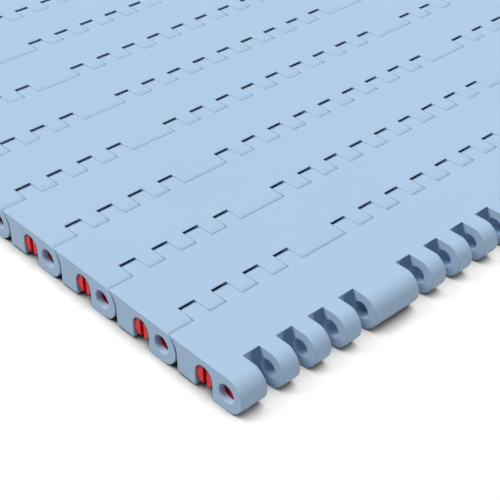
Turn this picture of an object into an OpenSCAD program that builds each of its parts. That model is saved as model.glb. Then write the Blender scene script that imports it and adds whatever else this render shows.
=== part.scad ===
// Section of a flat top modular plastic belt: one-piece moulded rows hinged on plastic pins,
// with a snap-in clip at each end of every hinge that keeps its pin in.
// X runs across the belt, Y along it towards the rear, Z up. The origin is on the underside,
// in the middle of the section. Units are millimetres.

/* [Belt] */
// Distance between neighbouring hinge axes
pitch = 25.4; // [24:0.1:30]
// Overall thickness of a row
thickness = 11.25; // [10.8:0.05:11.3]
// Distance across the belt between neighbouring hinge slots
link_pitch = 11.43; // [10.5:0.01:14]
// Number of ten-link units side by side in a row
units = 2; // [1:1:3]
// Number of rows in the section
rows = 9; // [2:1:12]

/* [Hinge] */
// Radius of the knuckles at the front of a row
front_knuckle_r = 5.75; // [5.7:0.05:6]
// Radius of the knuckles at the rear of a row
rear_knuckle_r = 5.6; // [5.55:0.05:5.75]
// Radius that blends the deck into the nose of a knuckle
shoulder_r = 4.5; // [3:0.1:4.8]
// Gap round a front knuckle where it turns in the row ahead
front_knuckle_gap = 0.65; // [0.4:0.05:0.8]
// Gap round a rear knuckle where it turns in the row behind
rear_knuckle_gap = 0.75; // [0.5:0.05:0.9]
// Gap between the sides of meshing knuckles
side_gap = 0.15; // [0.12:0.01:0.3]
// Diameter of the hinge pin
pin_d = 5.1; // [4:0.1:5.3]
// Radial play of the pin in its bores
pin_play = 0.1; // [0.05:0.01:0.2]
// Radial widening of the pin's way in through the belt's side wall
lead_in = 0.2; // [0.2:0.05:0.5]
// Chamfer on the ends of the pin
pin_chamfer = 0.5; // [0.2:0.1:1]

/* [Underside] */
// Thickness of the deck over the cells
deck = 3.6; // [3:0.1:5]
// Height by which the rear half stands off the track
rear_lift = 0.9; // [0.5:0.1:1.5]
// Thickness of the ribs between cells
rib = 2; // [1.5:0.1:3]
// Wall left between a cell and the hinge recess next to it
hinge_wall = 1.8; // [1.2:0.1:2.5]
// Corner radius of the sprocket pockets
pocket_corner = 1.2; // [0.5:0.1:2]

/* [Pin retaining clip] */
// Thickness of the belt's side wall outside the clip
side_wall = 2; // [1.5:0.1:3]
// Thickness of the clip's tongue
clip_t = 2.3; // [1.5:0.1:3]
// Height of the clip's tongue
clip_h = 6.1; // [5.9:0.1:6.3]
// Play between the clip and the slot that it slides in
clip_play = 0.3; // [0.2:0.05:0.4]
// Distance that the tongue covers in front of the pin axis
clip_cover = 2.7; // [2:0.1:3]
// Distance from the pin axis to the axis of the clip's boss
clip_reach = 8.6; // [8:0.1:9]
// Diameter of the clip's boss
boss_d = 6; // [5:0.1:6]
// Depth of the boss's face behind the side of the belt
boss_recess = 0.4; // [0.2:0.1:1]
// Width of the split in the boss
split_w = 1.5; // [1:0.1:2]
// Depth of the split below the root of the boss
split_extra = 0.8; // [0:0.1:1.2]

/* [Hidden] */
$fn = 96;
eps = 0.01;
links_per_unit = 10;

width = units * links_per_unit * link_pitch;
length = rows * pitch + front_knuckle_r + rear_knuckle_r;
pin_z = front_knuckle_r;
bore_r = pin_d / 2 + pin_play;
front_recess_r = rear_knuckle_r + rear_knuckle_gap;
rear_recess_r = front_knuckle_r + front_knuckle_gap;
deck_z = thickness - pin_z;
slot_w = link_pitch / 2;
rear_knuckle_w = slot_w - 2 * side_gap;

// Slots stand one link pitch apart, but a wide knuckle takes the place of the middle one of each unit
slots = [for (j = [1 : units * links_per_unit - 1])
    if (j % links_per_unit != links_per_unit / 2) j * link_pitch];

// Cells between the ribs of the underside, two to a link pitch
cell_pitch = link_pitch / 2;
cell_w = cell_pitch - rib;
cell_y0 = front_recess_r + hinge_wall;
cell_y1 = pitch - rear_recess_r - hinge_wall;
cell_top = thickness - deck;
// A sprocket pocket under each wide knuckle takes the place of three cells
pocket_w = 2 * cell_pitch + cell_w;
cells_per_unit = 2 * links_per_unit;
first_cell = 2;
last_cell = units * cells_per_unit - first_cell;
cells = [for (j = [first_cell : last_cell])
    if (abs(j % cells_per_unit - links_per_unit) > 1) j * cell_pitch];
pockets = [for (u = [0 : units - 1]) (u + 0.5) * links_per_unit * link_pitch];

clip_slot_w = clip_t + 2 * clip_play;
clip_slot_r = clip_h / 2 + clip_play;
clip_slot_front = -clip_cover - clip_play;
clip_slot_rear = clip_reach + clip_slot_r;
boss_len = side_wall + clip_play - boss_recess;
pin_len = width - 2 * (side_wall + clip_slot_w);

function row_y(i) = -length / 2 + front_knuckle_r + (i - 1) * pitch;

row_nodes = [for (i = [1 : rows]) str("belt_row_", i)];
pin_nodes = [for (i = [1 : rows - 1]) str("hinge_pin_", i)];
left_clip_nodes = [for (i = [1 : rows]) str("left_clip_", i)];
right_clip_nodes = [for (i = [1 : rows]) str("right_clip_", i)];

// Draws a side profile, in Y and Z, and runs it across the belt from X = from over a distance w
module across(from, w) {
    translate([from, 0, 0]) rotate([90, 0, 90]) linear_extrude(w) children();
}

module band(y0, y1, z0, z1) {
    translate([y0, z0]) square([y1 - y0, z1 - z0]);
}

module disc(y, z, r) {
    translate([y, z]) circle(r);
}

// Side profile of a knuckle that points to the right, from the pin axis: round about the pin and
// flat at deck level, with a blend between the two that is tangent to both
module knuckle_profile(r) {
    blend = [sqrt(pow(r - shoulder_r, 2) - pow(deck_z - shoulder_r, 2)), deck_z - shoulder_r];
    nose = blend * 2 * r / norm(blend);
    difference() {
        intersection() {
            circle(r);
            band(-r, r, -r, deck_z);
        }
        difference() {
            polygon([blend, [blend[0], nose[1]], nose]);
            disc(blend[0], blend[1], shoulder_r);
        }
    }
}

// Whole side profile of a row, with both rows of knuckles and both bores. The front half stands
// on the track as far back as the clip's slot, and the rear half is off it.
module row_profile() {
    difference() {
        union() {
            translate([0, pin_z]) mirror([1, 0]) knuckle_profile(front_knuckle_r);
            band(0, clip_slot_rear, 0, thickness);
            band(clip_reach, pitch, rear_lift, thickness);
            translate([pitch, pin_z]) knuckle_profile(rear_knuckle_r);
        }
        disc(0, pin_z, bore_r);
        disc(pitch, pin_z, bore_r);
    }
}

// Space that a rear knuckle of the row ahead turns in
module front_slot_profile() {
    disc(0, pin_z, front_recess_r);
    band(-thickness, 0, -eps, thickness + eps);
    band(-thickness, front_recess_r, -eps, pin_z);
}

// Space that a front knuckle of the row behind turns in
module rear_slot_profile() {
    disc(pitch, pin_z, rear_recess_r);
    band(pitch, pitch + thickness, -eps, thickness + eps);
    band(pitch - rear_recess_r, pitch + thickness, -eps, pin_z);
}

module front_slots() {
    for (x = slots) across(x - slot_w / 2, slot_w) front_slot_profile();
}

// What is left between the rear slots is the rear knuckles, a side gap narrower than the front slots
module rear_slots() {
    stops = concat([-eps - rear_knuckle_w / 2], slots, [width + eps + rear_knuckle_w / 2]);
    for (j = [0 : len(stops) - 2])
        across(stops[j] + rear_knuckle_w / 2, stops[j + 1] - stops[j] - rear_knuckle_w)
            rear_slot_profile();
}

module rounded_box(x, y, w, l, h, r) {
    translate([x - w / 2, y, -eps]) linear_extrude(h + eps) {
        translate([r, 0]) square([w - 2 * r, l]);
        translate([0, r]) square([w, l - 2 * r]);
        for (cx = [r, w - r], cy = [r, l - r]) translate([cx, cy]) circle(r);
    }
}

module underside_cells() {
    cell_len = cell_y1 - cell_y0;
    for (x = cells)
        translate([x - cell_w / 2, cell_y0, -eps]) cube([cell_w, cell_len, cell_top + eps]);
    for (x = pockets) rounded_box(x, cell_y0, pocket_w, cell_len, cell_top, pocket_corner);
}

// Upright slot with round upper corners that ends at y0 and y1 and is open at the bottom
module arch(y0, y1) {
    band(y0, y1, -eps, pin_z);
    band(y0 + clip_slot_r, y1 - clip_slot_r, 0, pin_z + clip_slot_r);
    for (y = [y0 + clip_slot_r, y1 - clip_slot_r]) disc(y, pin_z, clip_slot_r);
}

// Slot that the clip slides up into, the window that shows its boss, and the pin's way in, at the
// left side of the belt
module clip_slot() {
    across(side_wall, clip_slot_w) arch(clip_slot_front, clip_slot_rear);
    across(-eps, side_wall + 2 * eps) {
        band(clip_reach - clip_slot_r, clip_slot_rear, -eps, pin_z);
        disc(clip_reach, pin_z, clip_slot_r);
        disc(0, pin_z, bore_r + lead_in);
    }
}

module belt_row(i) {
    color("#AFCBE7") translate([-width / 2, row_y(i), 0]) difference() {
        across(0, width) row_profile();
        front_slots();
        rear_slots();
        underside_cells();
        clip_slot();
        translate([width, 0, 0]) mirror([1, 0, 0]) clip_slot();
    }
}

// Pin in the front bores of row i + 1 and the rear bores of row i
module hinge_pin(i) {
    color("#F2F1EA") translate([-pin_len / 2, row_y(i + 1), pin_z]) rotate([0, 90, 0]) {
        cylinder(h = pin_chamfer, r1 = pin_d / 2 - pin_chamfer, r2 = pin_d / 2);
        translate([0, 0, pin_chamfer]) cylinder(h = pin_len - 2 * pin_chamfer, r = pin_d / 2);
        translate([0, 0, pin_len - pin_chamfer])
            cylinder(h = pin_chamfer, r1 = pin_d / 2, r2 = pin_d / 2 - pin_chamfer);
    }
}

// Clip at the left side: a tongue that covers the end of the pin, and a split boss
module clip() {
    tongue_y = clip_h / 2 - clip_cover;
    difference() {
        union() {
            across(side_wall + clip_play, clip_t) {
                disc(tongue_y, pin_z, clip_h / 2);
                band(tongue_y, clip_reach, pin_z - clip_h / 2, pin_z + clip_h / 2);
                disc(clip_reach, pin_z, clip_h / 2);
            }
            across(boss_recess, boss_len + eps) disc(clip_reach, pin_z, boss_d / 2);
        }
        across(boss_recess - eps, boss_len + split_extra + eps)
            band(clip_reach - split_w / 2, clip_reach + split_w / 2, pin_z - clip_h, pin_z + clip_h);
    }
}

module left_clip(i) {
    color("#E8303A") translate([-width / 2, row_y(i), 0]) clip();
}

module right_clip(i) {
    color("#E8303A") translate([width / 2, row_y(i), 0]) mirror([1, 0, 0]) clip();
}

for (i = [1 : rows]) belt_row(i);
for (i = [1 : rows - 1]) hinge_pin(i);
for (i = [1 : rows]) left_clip(i);
for (i = [1 : rows]) right_clip(i);
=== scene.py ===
# %% [markdown]
# # A section of modular plastic belt
#
# A modular belt is a carpet of moulded plastic rows. Each row has a comb of knuckles along both
# edges, the combs of neighbouring rows mesh, and a plastic pin through all the knuckles makes the
# hinge. A red clip at each end of the hinge keeps the pin from working its way out.
#
# The solid parts come from the CAD model, at their real size and place, and this script never moves
# them. It gives them their plastics, and adds the light, the floor and the camera.

import math

import bpy
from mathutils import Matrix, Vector


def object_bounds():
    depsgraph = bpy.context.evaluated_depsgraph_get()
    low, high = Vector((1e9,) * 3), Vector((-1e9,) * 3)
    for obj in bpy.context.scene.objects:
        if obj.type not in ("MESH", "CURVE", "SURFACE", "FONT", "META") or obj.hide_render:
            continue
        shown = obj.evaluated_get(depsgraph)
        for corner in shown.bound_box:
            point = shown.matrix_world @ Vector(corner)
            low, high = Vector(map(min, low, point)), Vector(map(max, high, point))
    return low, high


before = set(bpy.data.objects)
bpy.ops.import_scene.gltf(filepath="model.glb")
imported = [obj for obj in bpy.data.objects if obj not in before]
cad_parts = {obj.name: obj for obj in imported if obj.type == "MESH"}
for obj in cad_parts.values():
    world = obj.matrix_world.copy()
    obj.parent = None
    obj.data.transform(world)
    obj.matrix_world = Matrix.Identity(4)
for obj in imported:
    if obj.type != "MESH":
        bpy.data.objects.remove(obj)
cad_low, cad_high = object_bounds()
size_mm = [round(1000 * side, 1) for side in cad_high - cad_low]
print("belt section, width, length and thickness in mm:", size_mm)

# %% [markdown]
# ## Units and colours
#
# Blender works in metres and in linear light, and a designer thinks in millimetres and in the sRGB
# hex values of a colour chart. Two small functions translate, so every size below is in millimetres
# and every colour is a hex value.

# %% Millimetres and hex colours
MM = 0.001


def linear(hex_colour):
    """The linear RGBA that Blender's sockets take, from an sRGB hex value."""
    channels = [int(hex_colour[i:i + 2], 16) / 255 for i in (1, 3, 5)]
    return [c / 12.92 if c <= 0.04045 else ((c + 0.055) / 1.055) ** 2.4 for c in channels] + [1.0]


print("mid grey in linear light:", round(linear("#808080")[0], 3))

# %% [markdown]
# ## A helper for node trees
#
# A procedural material is a small graph. One function adds a node, sets its sockets and properties,
# and links what feeds it, so a finish below reads as a recipe: one line for each step.

# %% One function that adds a node


def add_node(tree, kind, links=None, **settings):
    """Adds a shader node. Settings named in_... fill sockets, the others set properties.

    links maps a socket's name or number to the output that feeds it."""
    node = tree.nodes.new(kind)
    for name, value in settings.items():
        if name.startswith("in_"):
            node.inputs[name[3:].replace("_", " ")].default_value = value
        else:
            setattr(node, name, value)
    for socket, output in (links or {}).items():
        tree.links.new(output, node.inputs[socket])
    return node


def new_material(name):
    """An empty node material and its tree."""
    material = bpy.data.materials.new(name)
    material.use_nodes = True
    material.node_tree.nodes.clear()
    return material, material.node_tree


print("node helper ready")

# %% [markdown]
# ## The camera
#
# The belt runs out of view on three sides, so the camera stands close to the near left corner, with
# a long lens, and looks down along a diagonal. The point it aims at is on the carrying face, in the
# second row. It is written from the belt's own corner, so it follows the belt if a size changes.

# %% Camera
LENS_MM = 89.4
AZIMUTH = math.radians(-42.65)
ELEVATION = math.radians(36.6)
DISTANCE = 347.4 * MM
NEAREST_SEEN = 5 * MM
AIM_FROM_CORNER = Vector((40.0 * MM, 40.5 * MM, 0))

near_left_corner = Vector((cad_low.x, cad_low.y, cad_high.z))
aim = near_left_corner + AIM_FROM_CORNER
towards_camera = Vector((math.sin(AZIMUTH) * math.cos(ELEVATION),
                         -math.cos(AZIMUTH) * math.cos(ELEVATION),
                         math.sin(ELEVATION)))
camera_data = bpy.data.cameras.new("camera")
camera_data.lens = LENS_MM
camera_data.clip_start = NEAREST_SEEN
camera = bpy.data.objects.new("camera", camera_data)
camera.location = aim + DISTANCE * towards_camera
camera.rotation_euler = (-towards_camera).to_track_quat("-Z", "Y").to_euler()
bpy.context.scene.collection.objects.link(camera)
bpy.context.scene.camera = camera
print("camera height above the floor in mm:", round(camera.location.z / MM, 1))

# %% [markdown]
# ## Light
#
# Pale plastic looks like itself in soft light that still has a direction. The main light is a large
# soft lamp high up behind the left side: the deck is brightest, the side of the belt gets two thirds
# of that, and the holes stay dark. A weaker lamp in front lights the noses of the knuckles, and a
# faint white dome fills what the two leave. Both lamps are suns, which light the near and the far
# rows alike, and a wide disc makes their shadows soft. On a level surface the three add up to about
# 1, the level at which a colour renders about as it is written.

# %% Light
DOME_STRENGTH = 0.12


def soft_sun(name, azimuth, elevation, level, spread):
    """Adds a sun lamp. level is its light on a surface that faces it, and azimuth, elevation and
    spread, the width of its disc, are in degrees. Returns its light on a level surface."""
    data = bpy.data.lights.new(name, "SUN")
    data.energy = level * math.pi
    data.angle = math.radians(spread)
    lamp = bpy.data.objects.new(name, data)
    across, up = math.radians(azimuth), math.radians(elevation)
    towards_lamp = Vector((math.sin(across) * math.cos(up), -math.cos(across) * math.cos(up),
                           math.sin(up)))
    lamp.rotation_euler = towards_lamp.to_track_quat("Z", "Y").to_euler()
    bpy.context.scene.collection.objects.link(lamp)
    return level * math.sin(up)


deck_level = DOME_STRENGTH
deck_level += soft_sun("main_lamp", azimuth=-130, elevation=54, level=0.9, spread=26)
deck_level += soft_sun("front_lamp", azimuth=0, elevation=26, level=0.33, spread=30)
print("light on the deck:", round(deck_level, 2))

# %% [markdown]
# ## The surroundings
#
# The dome is faint, so the surroundings would look dark grey. The Light Path node tells a shader
# which kind of ray asks. A ray from the camera, or one that a glossy surface sends out, gets a plain
# white of strength 1, and the rays that carry light to the belt get the faint dome.

# %% White surroundings


def seen_or_mirrored(tree):
    """1 for camera rays and glossy rays, 0 for the rays that light the belt."""
    path = add_node(tree, "ShaderNodeLightPath")
    return add_node(tree, "ShaderNodeMath", {0: path.outputs["Is Camera Ray"],
                                             1: path.outputs["Is Glossy Ray"]},
                    operation="MAXIMUM").outputs[0]


world = bpy.data.worlds.new("white_surroundings")
world.use_nodes = True
world.node_tree.nodes.clear()
dome = add_node(world.node_tree, "ShaderNodeBackground", in_Color=linear("#FFFFFF"),
                in_Strength=DOME_STRENGTH)
white = add_node(world.node_tree, "ShaderNodeBackground", in_Color=linear("#FFFFFF"),
                 in_Strength=1.0)
chosen = add_node(world.node_tree, "ShaderNodeMixShader",
                  {0: seen_or_mirrored(world.node_tree), 1: dome.outputs[0], 2: white.outputs[0]})
add_node(world.node_tree, "ShaderNodeOutputWorld", {"Surface": chosen.outputs[0]})
bpy.context.scene.world = world
print("dome strength:", DOME_STRENGTH)

# %% [markdown]
# ## The floor
#
# The belt lies on white paper. As with the surroundings, the paper that the camera sees is not quite
# the paper that lights the belt. The light that bounces up comes from a plain grey sheet. What the
# camera sees is white, with two shadows in it: a soft one that the lamps cast, and a narrow dark line
# where the belt stands. That line is painted shade: the Ambient Occlusion node finds where the belt
# is close, and there the paper's glow is turned down, whatever the lamps do.
#
# The white is a glow of PAPER_WHITE less CAST_SHADOW, turned down near the belt into the painted
# shade, and a diffuse layer of CAST_SHADOW adds the rest where the lamps reach. CONTACT_DARK and
# CONTACT_WHITE are the openness, from 0 to 1, at which the painted dark line is darkest and at which
# it ends.

# %% Floor
FLOOR_SIDE = 6.0
FLOOR_DROP = 0.02 * MM
BOUNCE_PAPER = "#8A8A8A"
CAST_SHADOW = 0.16
PAPER_WHITE = 1.03
CONTACT_WIDTH = 8 * MM
CONTACT_DARK = 0.3
CONTACT_WHITE = 0.74

floor_material, tree = new_material("white_paper_sheet")
paper = add_node(tree, "ShaderNodeBsdfDiffuse", in_Color=linear(BOUNCE_PAPER))
closeness = add_node(tree, "ShaderNodeAmbientOcclusion", samples=8, in_Distance=CONTACT_WIDTH)
# Painted shade: near the belt the Ambient Occlusion value turns the paper's glow down into a dark
# line.
painted_contact_shade = add_node(tree, "ShaderNodeMapRange", {"Value": closeness.outputs["AO"]},
                   in_From_Min=CONTACT_DARK, in_From_Max=CONTACT_WHITE,
                   in_To_Max=PAPER_WHITE - CAST_SHADOW)
glow = add_node(tree, "ShaderNodeEmission", {"Strength": painted_contact_shade.outputs[0]})
shaded = add_node(tree, "ShaderNodeBsdfDiffuse", in_Color=[CAST_SHADOW] * 3 + [1.0])
shown = add_node(tree, "ShaderNodeAddShader", {0: shaded.outputs[0], 1: glow.outputs[0]})
either = add_node(tree, "ShaderNodeMixShader", {0: seen_or_mirrored(tree), 1: paper.outputs[0],
                                                2: shown.outputs[0]})
add_node(tree, "ShaderNodeOutputMaterial", {"Surface": either.outputs[0]})

bpy.ops.mesh.primitive_plane_add(size=FLOOR_SIDE, location=(0, 0, cad_low.z - FLOOR_DROP))
floor = bpy.context.object
floor.name = "floor"
floor.data.materials.append(floor_material)
print("floor side in m:", FLOOR_SIDE)

# %% [markdown]
# ## The finish that all the moulded parts share
#
# The rows and the clips are acetal, a hard, slippery plastic, injected into steel moulds. Three
# things tell the eye that: a matt surface with a very fine grain from the spark-eroded mould, edges
# that are a little round because a mould has no razor edges, and a gloss that varies gently where
# the surface has been handled.
#
# The grain is a bump. The real one is about 0.05 mm, too fine to show, so it is drawn coarser. What
# the finest grain does is scatter the reflections, so MOULD_MATT is a little over half of the usual
# specular level of 0.5. The gloss follows a slow noise, in patches about as wide as a thumb. The
# round edges could be modelled, but a bevel along every edge adds a great many faces, and at this
# size only its effect on the light shows. The Bevel node gives that effect alone: it bends the
# shading within a small radius of each edge.

# %% Moulded acetal
ACETAL_IOR = 1.48
MOULD_MATT = 0.3
GRAIN_MM = 0.25
GRAIN_HEIGHT = 0.004 * MM
GRAIN_STRENGTH = 0.5
HANDLING_MM = 22
HANDLING_GLOSS = 0.05


def moulded_acetal(name, colour, shade, roughness, edge_mm):
    """Injection-moulded acetal. colour is its main colour, shade is the colour of its slightly
    darker patches, and edge_mm is the radius of its edges."""
    material, tree = new_material(name)
    place = add_node(tree, "ShaderNodeTexCoord").outputs["Object"]
    handling = add_node(tree, "ShaderNodeTexNoise", {"Vector": place},
                        in_Scale=1 / (HANDLING_MM * MM), in_Detail=3.0).outputs["Fac"]
    tint = add_node(tree, "ShaderNodeMix", {0: handling}, data_type="RGBA")
    tint.inputs[6].default_value = linear(shade)  # the mix node's colour A
    tint.inputs[7].default_value = linear(colour)  # and its colour B
    gloss = add_node(tree, "ShaderNodeMapRange", {"Value": handling},
                     in_To_Min=roughness - HANDLING_GLOSS, in_To_Max=roughness + HANDLING_GLOSS)
    grain = add_node(tree, "ShaderNodeTexNoise", {"Vector": place},
                     in_Scale=1 / (GRAIN_MM * MM), in_Detail=2.0)
    round_edge = add_node(tree, "ShaderNodeBevel", samples=6, in_Radius=edge_mm * MM)
    bump = add_node(tree, "ShaderNodeBump", {"Height": grain.outputs["Fac"],
                                             "Normal": round_edge.outputs[0]},
                    in_Strength=GRAIN_STRENGTH, in_Distance=GRAIN_HEIGHT)
    surface = add_node(tree, "ShaderNodeBsdfPrincipled",
                       {"Base Color": tint.outputs[2], "Roughness": gloss.outputs[0],
                        "Normal": bump.outputs[0]}, in_IOR=ACETAL_IOR,
                       in_Specular_IOR_Level=MOULD_MATT)
    add_node(tree, "ShaderNodeOutputMaterial", {"Surface": surface.outputs[0]})
    return material


print("grain drawn at", GRAIN_MM, "mm")

# %% [markdown]
# ## The belt rows
#
# The rows are light blue, a colour that hardly any food has, so a broken piece of belt is easy to
# find. Their edges have a radius of a few tenths of a millimetre. Every knuckle, bore and slot is
# already in the CAD solids at its true size, and a copy modelled by eye could only be less exact, so
# the solids are shown as they are and need no more than their plastic.
#
# A short function gives a plastic to all the pieces that share a word in their names. The clips and
# the pins use it too.

# %% Rows


def give_plastic(word, plastic):
    """Gives a material to every CAD node with this word in its name."""
    nodes = [node for name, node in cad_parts.items() if word in name]
    for node in nodes:
        node.data.materials.clear()
        node.data.materials.append(plastic)
    print(plastic.name, "on", len(nodes), "pieces")


give_plastic("belt_row", moulded_acetal("light_blue_acetal", "#AFCBE7", "#ADC9E5",
                                        roughness=0.48, edge_mm=0.45))

# %% [markdown]
# ## The clips
#
# The clips are the same acetal in red, so that the fitter sees at a glance which ones are in. They
# are smaller and smoother than the rows, with finer edges.

# %% Clips
give_plastic("clip", moulded_acetal("red_acetal", "#EE1F2B", "#E81B27",
                                    roughness=0.4, edge_mm=0.2))

# %% [markdown]
# ## The hinge pins
#
# The pins are cut from extruded rod of natural acetal, which is a milky white. Extruding leaves fine
# lines along the rod. An image of scratches could show them, but noise that is stretched along the
# pin needs no image and has its scale in millimetres. The milky depth is a little subsurface
# scattering.

# %% Pins
LINE_WIDTH_MM = 0.2
LINE_STRETCH = 60
LINE_HEIGHT = 0.006 * MM
LINE_STRENGTH = 0.6
LINE_GLOSS = 0.04
MILKY_SHARE = 0.3
MILKY_DEPTH = 0.6 * MM


def extruded_rod(name, colour, roughness):
    """Extruded acetal rod that lies along X, with fine lines along it."""
    material, tree = new_material(name)
    place = add_node(tree, "ShaderNodeTexCoord").outputs["Object"]
    along = add_node(tree, "ShaderNodeMapping", {"Vector": place},
                     in_Scale=(1 / LINE_STRETCH, 1, 1))
    lines = add_node(tree, "ShaderNodeTexNoise", {"Vector": along.outputs[0]},
                     in_Scale=1 / (LINE_WIDTH_MM * MM), in_Detail=1.0)
    bump = add_node(tree, "ShaderNodeBump", {"Height": lines.outputs["Fac"]},
                    in_Strength=LINE_STRENGTH, in_Distance=LINE_HEIGHT)
    gloss = add_node(tree, "ShaderNodeMapRange", {"Value": lines.outputs["Fac"]},
                     in_To_Min=roughness - LINE_GLOSS, in_To_Max=roughness + LINE_GLOSS)
    surface = add_node(tree, "ShaderNodeBsdfPrincipled",
                       {"Roughness": gloss.outputs[0], "Normal": bump.outputs[0]},
                       in_Base_Color=linear(colour), in_IOR=ACETAL_IOR,
                       in_Subsurface_Weight=MILKY_SHARE, in_Subsurface_Scale=MILKY_DEPTH)
    add_node(tree, "ShaderNodeOutputMaterial", {"Surface": surface.outputs[0]})
    return material


give_plastic("hinge_pin", extruded_rod("natural_acetal_rod", "#F2F0E6", roughness=0.32))

# %% [markdown]
# ## Finish
#
# The view transform is Standard, so that a colour renders about as it is written.

# %% Finish
bpy.context.scene.view_settings.view_transform = "Standard"
